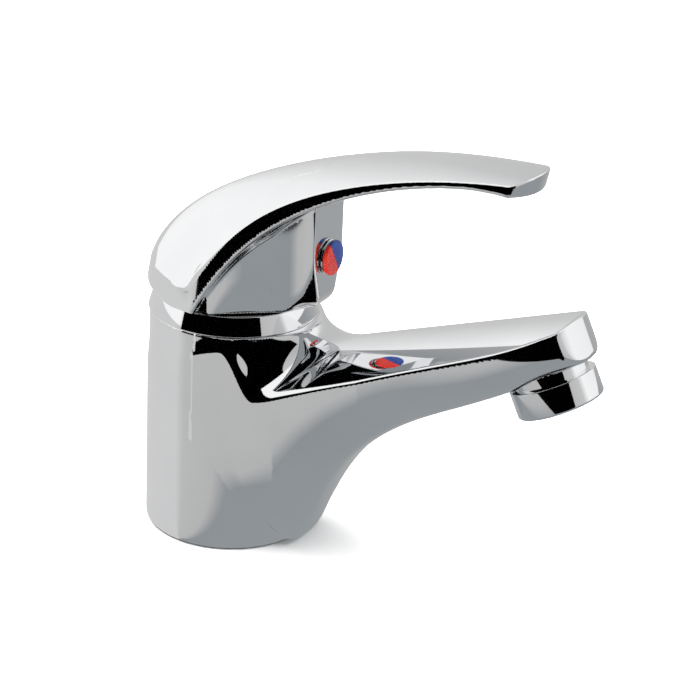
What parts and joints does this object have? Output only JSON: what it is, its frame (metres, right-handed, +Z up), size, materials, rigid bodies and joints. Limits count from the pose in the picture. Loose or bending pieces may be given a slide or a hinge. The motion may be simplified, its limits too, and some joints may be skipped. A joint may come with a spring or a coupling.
{
  "type": "basin mixer tap",
  "caption": "Single-lever bathroom basin mixer: round column, rising spout with tilted aerator, domed lever with long paddle over a ceramic disc cartridge.",
  "frame": {"origin": "middle of the base, on the deck face", "axes": "+Z up along the column, +X the way the spout points, +Y to the left of the spout"},
  "size_m": [0.1349, 0.0506, 0.1219],
  "materials": {
    "chrome_plate": "mirror-polished chrome plate",
    "black_rubber": "matt moulded",
    "raw_brass": "turned",
    "grey_plastic": "moulded",
    "white_plastic": "moulded",
    "ceramic": "lapped alumina",
    "stainless": "satin",
    "hot_red": "glossy",
    "cold_blue": "glossy"
  },
  "bodies": {
    "body": {"body_casting": "chrome_plate", "base_gasket": "black_rubber", "cover_ring": "chrome_plate", "ring_seal": "black_rubber", "retaining_nut": "raw_brass", "cartridge_base": "grey_plastic", "port_seal_hot": "black_rubber", "port_seal_cold": "black_rubber", "port_seal_outlet": "black_rubber", "cartridge_housing": "white_plastic", "fixed_disc": "ceramic", "aerator_housing": "chrome_plate", "aerator_insert": "white_plastic", "aerator_screen": "stainless", "aerator_washer": "black_rubber"},
    "rotor": {"stem_rotor": "white_plastic", "rotor_seal": "black_rubber", "pivot_pin": "stainless"},
    "carrier": {"disc_carrier": "grey_plastic", "moving_disc": "ceramic"},
    "lever": {"lever_handle": "chrome_plate", "stem": "raw_brass", "grub_screw": "stainless", "index_plug": "chrome_plate", "index_red": "hot_red", "index_blue": "cold_blue"}
  },
  "joints": [
    {"name": "swivel", "type": "hinge", "parent": "body", "child": "rotor", "pos_m": [0, 0, 0.05], "axis": [0, 0, 1], "range_deg": [-45, 45]},
    {"name": "lift", "type": "hinge", "parent": "rotor", "child": "lever", "pos_m": [0, 0, 0.05], "axis": [0, -1, 0], "range_deg": [0, 22]},
    {"name": "disc_slide", "type": "slide", "parent": "rotor", "child": "carrier", "axis": [1, 0, 0], "range_m": [0, 0.0036]}
  ],
  "couplings": [
    {"joint": "disc_slide", "follows": "lift", "m_per_rad": 0.0093}
  ]
}
